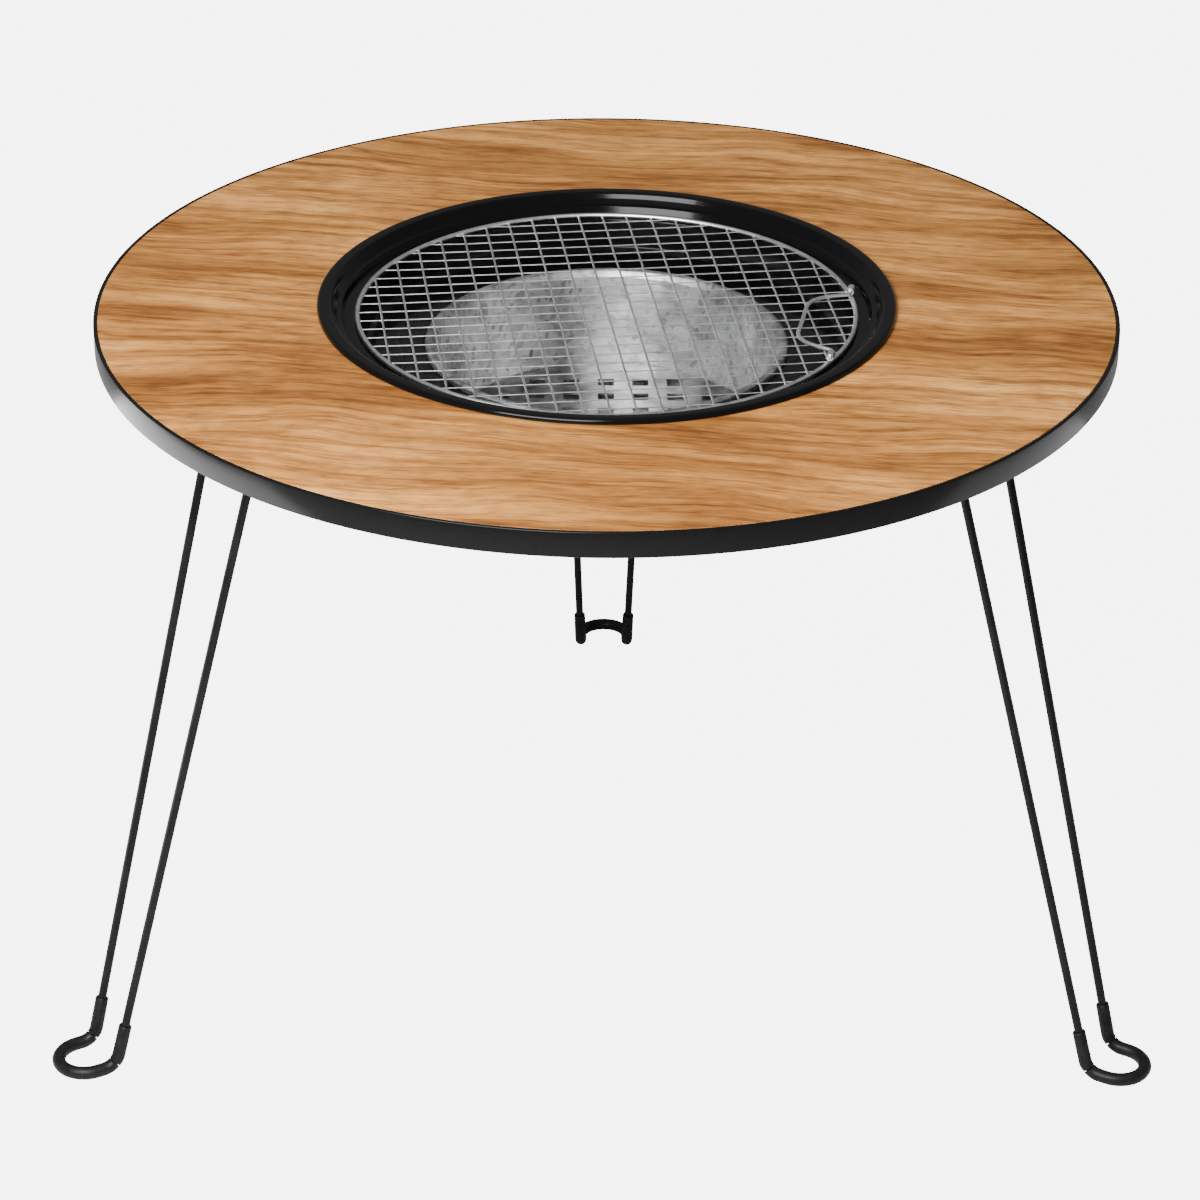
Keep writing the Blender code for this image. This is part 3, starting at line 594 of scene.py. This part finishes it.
def sheet_section(line, thickness):
    """Closed section of a thin sheet: its centre line, which ends on the axis,
    is moved half the thickness to each side and the lip is closed round."""
    step = np.diff(line, axis=0)
    step = step / np.linalg.norm(step, axis=1, keepdims=True)
    along = np.vstack([step[:1], step[:-1] + step[1:], step[-1:]])
    along = along / np.linalg.norm(along, axis=1, keepdims=True)
    normal = np.stack([-along[:, 1], along[:, 0]], axis=-1)
    one = line + normal * thickness / 2
    two = line - normal * thickness / 2
    one[-1, 0] = two[-1, 0] = 0.0
    return np.vstack([one[::-1], two])


enamel = bpy.data.materials.new("black enamel")
tree, shader, add = shader_of(enamel)
coord = add("ShaderNodeTexCoord").outputs["Object"]
shader.inputs["Base Color"].default_value = (0.0030, 0.0030, 0.0031, 1)
shader.inputs["Specular IOR Level"].default_value = 0.14
haze = add("ShaderNodeTexNoise", {"Vector": coord, "Scale": 26.0, "Detail": 6.0, "Roughness": 0.6})
flow = add("ShaderNodeTexNoise", {"Vector": coord, "Scale": 70.0, "Detail": 2.0})
dressed(tree, shader, add, rough=(haze.outputs["Fac"], 0.08, 0.16), relief=(flow.outputs["Fac"], 0.07, 0.001))

rim = rim_radius - sheet / 2
basin_line = filleted([
    (rim, 0.0009), (rim - 0.0006, 0.0040), (neck_radius + 0.0022, 0.0036), (neck_radius, -0.0004),
    (neck_radius - 0.0030, -0.0045), (neck_radius - 0.0058, -0.0050), (step_radius, -net_step_drop),
    (shelf_radius, -net_step_drop), (shelf_radius - 0.0045, -0.0340), (shelf_radius - wall_inset, -ledge_drop),
    (well + 0.0020, -ledge_drop), (well, -0.0390), (well - 0.0010, -basin_depth + 0.0090),
    (well - 0.0090, -basin_depth), (0.0, -basin_depth)],
    [0.0020, 0.0020, 0.0016, 0.0010, 0.0008, 0.0012, 0.0018, 0.0030, 0.0020, 0.0010, 0.0008,
     floor_bend, floor_bend], steps=8)
basin_section = sheet_section(basin_line, sheet) + (0, top_z)
piece("fire_basin_look", turned("fire_basin_look", basin_section, closed=False, turns=256),
      enamel, "basin", "black_enamel", "fire_basin")

# ---- The charcoal pot ----
# A tapered pot pressed from bright galvanised sheet, with its rim rolled to a
# bead.  Turning marks from the press run round the wall.
pot_sheet = 0.0010
pot_rim_overlap = 0.0050
pot_seat_gap = 0.0003
pot_floor_gap = 0.0060
pot_rim = well + pot_rim_overlap
galvanised = bpy.data.materials.new("bright galvanised")
tree, shader, add = shader_of(galvanised)
coord = add("ShaderNodeTexCoord").outputs["Object"]
local = add("ShaderNodeVectorMath", {0: coord, 1: (axis_x, axis_y, 0.0)}, operation="SUBTRACT").outputs[0]
parts = add("ShaderNodeSeparateXYZ", {"Vector": local})
level = add("ShaderNodeCombineXYZ", {"X": parts.outputs["X"], "Y": parts.outputs["Y"]})
distance = add("ShaderNodeVectorMath", {0: level.outputs[0]}, operation="LENGTH")
rings = add("ShaderNodeCombineXYZ", {"X": distance.outputs["Value"], "Y": parts.outputs["Z"]})
lathe_marks = add("ShaderNodeTexNoise", {"Vector": rings.outputs[0], "Scale": 900.0, "Detail": 3.0})
spangle = add("ShaderNodeTexVoronoi", {"Vector": coord, "Scale": 260.0})
blotch = add("ShaderNodeTexNoise", {"Vector": coord, "Scale": 34.0, "Detail": 5.0})
shade = ramped(add, blotch.outputs["Fac"], [
    (0.32, (0.27, 0.275, 0.28, 1)), (0.52, (0.42, 0.425, 0.43, 1)), (0.70, (0.60, 0.605, 0.61, 1))])
flake = blended(add, "OVERLAY", 0.45, shade, spangle.outputs["Color"])
grey = add("ShaderNodeHueSaturation", {"Color": flake, "Saturation": 0.12})
shader.inputs["Metallic"].default_value = 1.0
dressed(tree, shader, add, grey.outputs[0], (blotch.outputs["Fac"], 0.34, 0.50),
        (lathe_marks.outputs["Fac"], 0.55, 0.0004))

pot_low = basin_depth - sheet / 2 - pot_floor_gap - pot_sheet / 2
ledge = -ledge_drop + sheet / 2 + pot_seat_gap
pot_line = filleted([
    (pot_rim, ledge), (pot_rim, ledge + 0.0034), (pot_rim - 0.0024, ledge + 0.0041),
    (pot_rim - 0.0048, ledge + 0.0034), (well - 0.0026, ledge - 0.0004), (well - 0.0145, -pot_low + 0.0090),
    (well - 0.0215, -pot_low), (0.0, -pot_low)],
    [0.0012, 0.0018, 0.0016, 0.0014, floor_bend, floor_bend], steps=8)
pot_section = sheet_section(pot_line, pot_sheet) + (0, top_z)
piece("charcoal_pot_look", turned("charcoal_pot_look", pot_section, closed=False, turns=256),
      galvanised, "pot", "galvanised_steel", "charcoal_pot")

# ---- The fire grate ----
# A loose disc of steel plate punched with square air holes, which keeps the
# charcoal off the pot's floor.  Heat has left it mottled.
plain_steel = bpy.data.materials.new("grate steel")
tree, shader, add = shader_of(plain_steel)
coord = add("ShaderNodeTexCoord").outputs["Object"]
mottle = add("ShaderNodeTexNoise", {"Vector": coord, "Scale": 40.0, "Detail": 6.0, "Roughness": 0.65})
shade = ramped(add, mottle.outputs["Fac"], [
    (0.32, (0.12, 0.12, 0.125, 1)), (0.52, (0.30, 0.30, 0.31, 1)), (0.70, (0.56, 0.56, 0.57, 1))])
shader.inputs["Metallic"].default_value = 1.0
dressed(tree, shader, add, shade, (mottle.outputs["Fac"], 0.22, 0.40), (mottle.outputs["Fac"], 0.35, 0.001))
for holder in frame["nodes"]["fire_grate"].material_slots:
    holder.material = plain_steel

# ---- The net ----
# Two layers of straight plated wire, thin ones under thicker ones, are welded
# where they cross, inside a ring of thicker wire that rests on the basin's step.
net_low, net_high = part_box("net_ring")
net_z = (net_low[2] + net_high[2]) / 2
ring_wire = 0.0020
ring_radius = 0.1955
wire = np.array([0.00048, 0.00084])
wires = np.array([23, 19])
net_turn = math.radians(7)
wire_spread = ring_radius - ring_wire + 0.0024
pitches = 2 * wire_spread / (wires + 1)
weld_depth = 0.0002
end_bend = 0.0040

plated = bpy.data.materials.new("bright plated wire")
tree, shader, add = shader_of(plated)
coord = add("ShaderNodeTexCoord").outputs["Object"]
film = add("ShaderNodeTexNoise", {"Vector": coord, "Scale": 130.0, "Detail": 4.0})
shade = ramped(add, film.outputs["Fac"], [(0.30, (0.72, 0.72, 0.73, 1)), (0.60, (0.92, 0.92, 0.93, 1))])
shader.inputs["Metallic"].default_value = 1.0
dressed(tree, shader, add, shade, (film.outputs["Fac"], 0.24, 0.38))

angle = np.linspace(0, 2 * math.pi, 220, endpoint=False)
ring_path = np.stack([axis_x + ring_radius * np.cos(angle), axis_y + ring_radius * np.sin(angle),
                      np.full(angle.shape, net_z)], axis=-1)
ring_rings = swept(ring_path, ring_wire, 16, (0, 0, 1), closed=True)
ring = grid_mesh("net_ring_look", ring_rings, close_u=True, close_v=True)
piece("net_ring_look", ring, plated, "net", "chromed_wire", "net_ring")


def net_wire(place, layer):
    """One wire of the net: a straight chord of the ring at a distance from its
    middle, along X in the lower layer and along Y in the upper one."""
    reach = math.sqrt(ring_radius ** 2 - place ** 2) - ring_wire * 0.6
    run = np.linspace(-reach, reach, 12)
    ends = np.clip((reach - np.abs(run)) / end_bend, 0, 1)
    height = net_z - weld_depth + wire[layer] * (2 * layer - 1) * ends
    path = np.stack([np.full(run.shape, place), run, height], axis=-1)
    if not layer:
        path = path[:, [1, 0, 2]]
    path = spun(path, net_turn, (axis_x, axis_y, 0))
    return capped(swept(path, wire[layer], 10, (0, 0, 1)), path)


shells = []
for layer in (0, 1):
    for order in range(wires[layer]):
        rings = net_wire((order - (wires[layer] - 1) / 2) * pitches[layer], layer)
        shells.append((rings.reshape(-1, 3), grid_faces(rings, close_v=True)))
piece("net_wires_look", joined_mesh("net_wires_look", shells), plated, "net", "chromed_wire", "net_wires")

# ---- The net's lift handle ----
# A bail of the same wire.  Its two bent ends turn in short tubes welded on top
# of the ring, and it lies flat on the net until it is lifted.
handle_joint = leg_joints["handle"]
handle_place = np.array(handle_joint["pos_m"])
handle_turn = math.radians(-10)
handle_half = ring_radius * math.sin(math.radians(19))
handle_wire = 0.0016
lug_half = 0.0050
lug_radius = 0.0030
lug_bore = 0.0019
lug_bevel = 0.0004
bail_reach = 0.0300
bail_half = 0.0400
tip = handle_half + lug_half + 0.0020
turn_in = handle_half - lug_half - 0.0040
bail = filleted([(0, -tip, 0), (0, -turn_in, 0), (-bail_reach, -bail_half, 0),
                 (-bail_reach, bail_half, 0), (0, turn_in, 0), (0, tip, 0)],
                [0.0035, 0.0250, 0.0250, 0.0035], steps=12)
bail_rings = capped(swept(bail, handle_wire, 14, (0, 0, 1)), bail)
bail_mesh = grid_mesh("net_handle_look", spun(bail_rings, handle_turn, handle_place), close_v=True)
piece("net_handle_look", bail_mesh, plated, "handle", "chromed_wire", "net_handle")
for number, side in enumerate((-1, 1), 1):
    run = np.array([-lug_half + 0.0002, -lug_half + 0.0006, lug_half - 0.0006, lug_half - 0.0002])
    path = np.stack([np.zeros(4), side * handle_half + run, np.zeros(4)], axis=-1)
    drawn_in = lug_radius - lug_bevel
    outside = swept(path, [drawn_in, lug_radius, lug_radius, drawn_in], 20, (0, 0, 1))
    shell = np.vstack([outside, swept(path, lug_bore, 20, (0, 0, 1))[::-1]])
    name = f"handle_lug_{number}"
    lug = grid_mesh(f"{name}_look", spun(shell, handle_turn, handle_place), close_u=True, close_v=True)
    piece(f"{name}_look", lug, plated, "net", "chromed_wire", name)

# ---- The studio ----
# A wide floor and a sky that the camera sees as plain white, a soft key at the
# front left, a weaker one overhead, and low cards that the black hoop reflects.
white_glow = 7.0
glow_share = 0.9
sky_strength = 0.25
floor_half = 8.0
paper = bpy.data.materials.new("pale paper")
tree, shader, add = shader_of(paper)
shader.inputs["Base Color"].default_value = (0.80, 0.80, 0.80, 1)
shader.inputs["Roughness"].default_value = 0.9
seen = add("ShaderNodeLightPath").outputs["Is Camera Ray"]
share = add("ShaderNodeMath", {0: seen, 1: glow_share}, operation="MULTIPLY").outputs[0]
glow = add("ShaderNodeEmission", {"Strength": white_glow})
washed = add("ShaderNodeMixShader", {0: share, 1: shader.outputs[0], 2: glow.outputs[0]})
tree.links.new(washed.outputs[0], tree.nodes["Material Output"].inputs["Surface"])
corners = np.array([[[-1.0, -1, 0], [1, -1, 0]], [[-1, 1, 0], [1, 1, 0]]])
floor = grid_mesh("floor", corners * floor_half + (0, 0, cad_box[0][2]))
stage = bpy.data.objects.new("floor", floor)
bpy.context.scene.collection.objects.link(stage)
floor.materials.append(paper)

world = bpy.data.worlds.new("studio")
bpy.context.scene.world = world
world.use_nodes = True
sky = world.node_tree
soft = sky.nodes["Background"]
soft.inputs["Color"].default_value = (1, 1, 1, 1)
soft.inputs["Strength"].default_value = sky_strength
white = sky.nodes.new("ShaderNodeBackground")
white.inputs["Strength"].default_value = white_glow
white.inputs["Color"].default_value = (1, 1, 1, 1)
either = sky.nodes.new("ShaderNodeMixShader")
sky.links.new(sky.nodes.new("ShaderNodeLightPath").outputs["Is Camera Ray"], either.inputs[0])
sky.links.new(soft.outputs[0], either.inputs[1])
sky.links.new(white.outputs[0], either.inputs[2])
sky.links.new(either.outputs[0], sky.nodes["World Output"].inputs["Surface"])


def softbox(name, place, target, size, power):
    """Rectangular area light at a place, aimed at a target."""
    lamp = bpy.data.lights.new(name, "AREA")
    lamp.shape = "RECTANGLE"
    lamp.size, lamp.size_y = size
    lamp.energy = power
    made = bpy.data.objects.new(name, lamp)
    bpy.context.scene.collection.objects.link(made)
    made.location = place
    gap = np.asarray(target, dtype=float) - np.asarray(place, dtype=float)
    flat = math.hypot(gap[0], gap[1])
    made.rotation_euler = (math.atan2(flat, -gap[2]), 0, math.atan2(gap[1], gap[0]) - math.pi / 2)


softbox("key", (-0.55, -1.35, 1.5), (0, -0.1, 0.5), (1.0, 1.0), 74)
softbox("top", (-0.5, -0.4, 3.2), (0, 0, 0.5), (2.0, 1.4), 6)
softbox("left card", (-1.25, 0.0, 0.02), (-1.25, 0.0, 1.0), (1.3, 0.7), 18)
softbox("right card", (1.35, 0.0, 0.02), (1.35, 0.0, 1.0), (1.0, 0.7), 4)

lens = bpy.data.cameras.new("camera")
lens.sensor_width = 36
lens.lens = 116.6
lens.clip_end = 100
camera = bpy.data.objects.new("camera", lens)
bpy.context.scene.collection.objects.link(camera)
camera.location = (axis_x - 0.0038, axis_y - 2.8000, top_z + 1.2225)
look_down = 27.98
roll = 0.36
aim = Matrix.Rotation(math.radians(90 - look_down), 3, "X") @ Matrix.Rotation(math.radians(roll), 3, "Z")
camera.rotation_euler = aim.to_euler()
bpy.context.scene.camera = camera
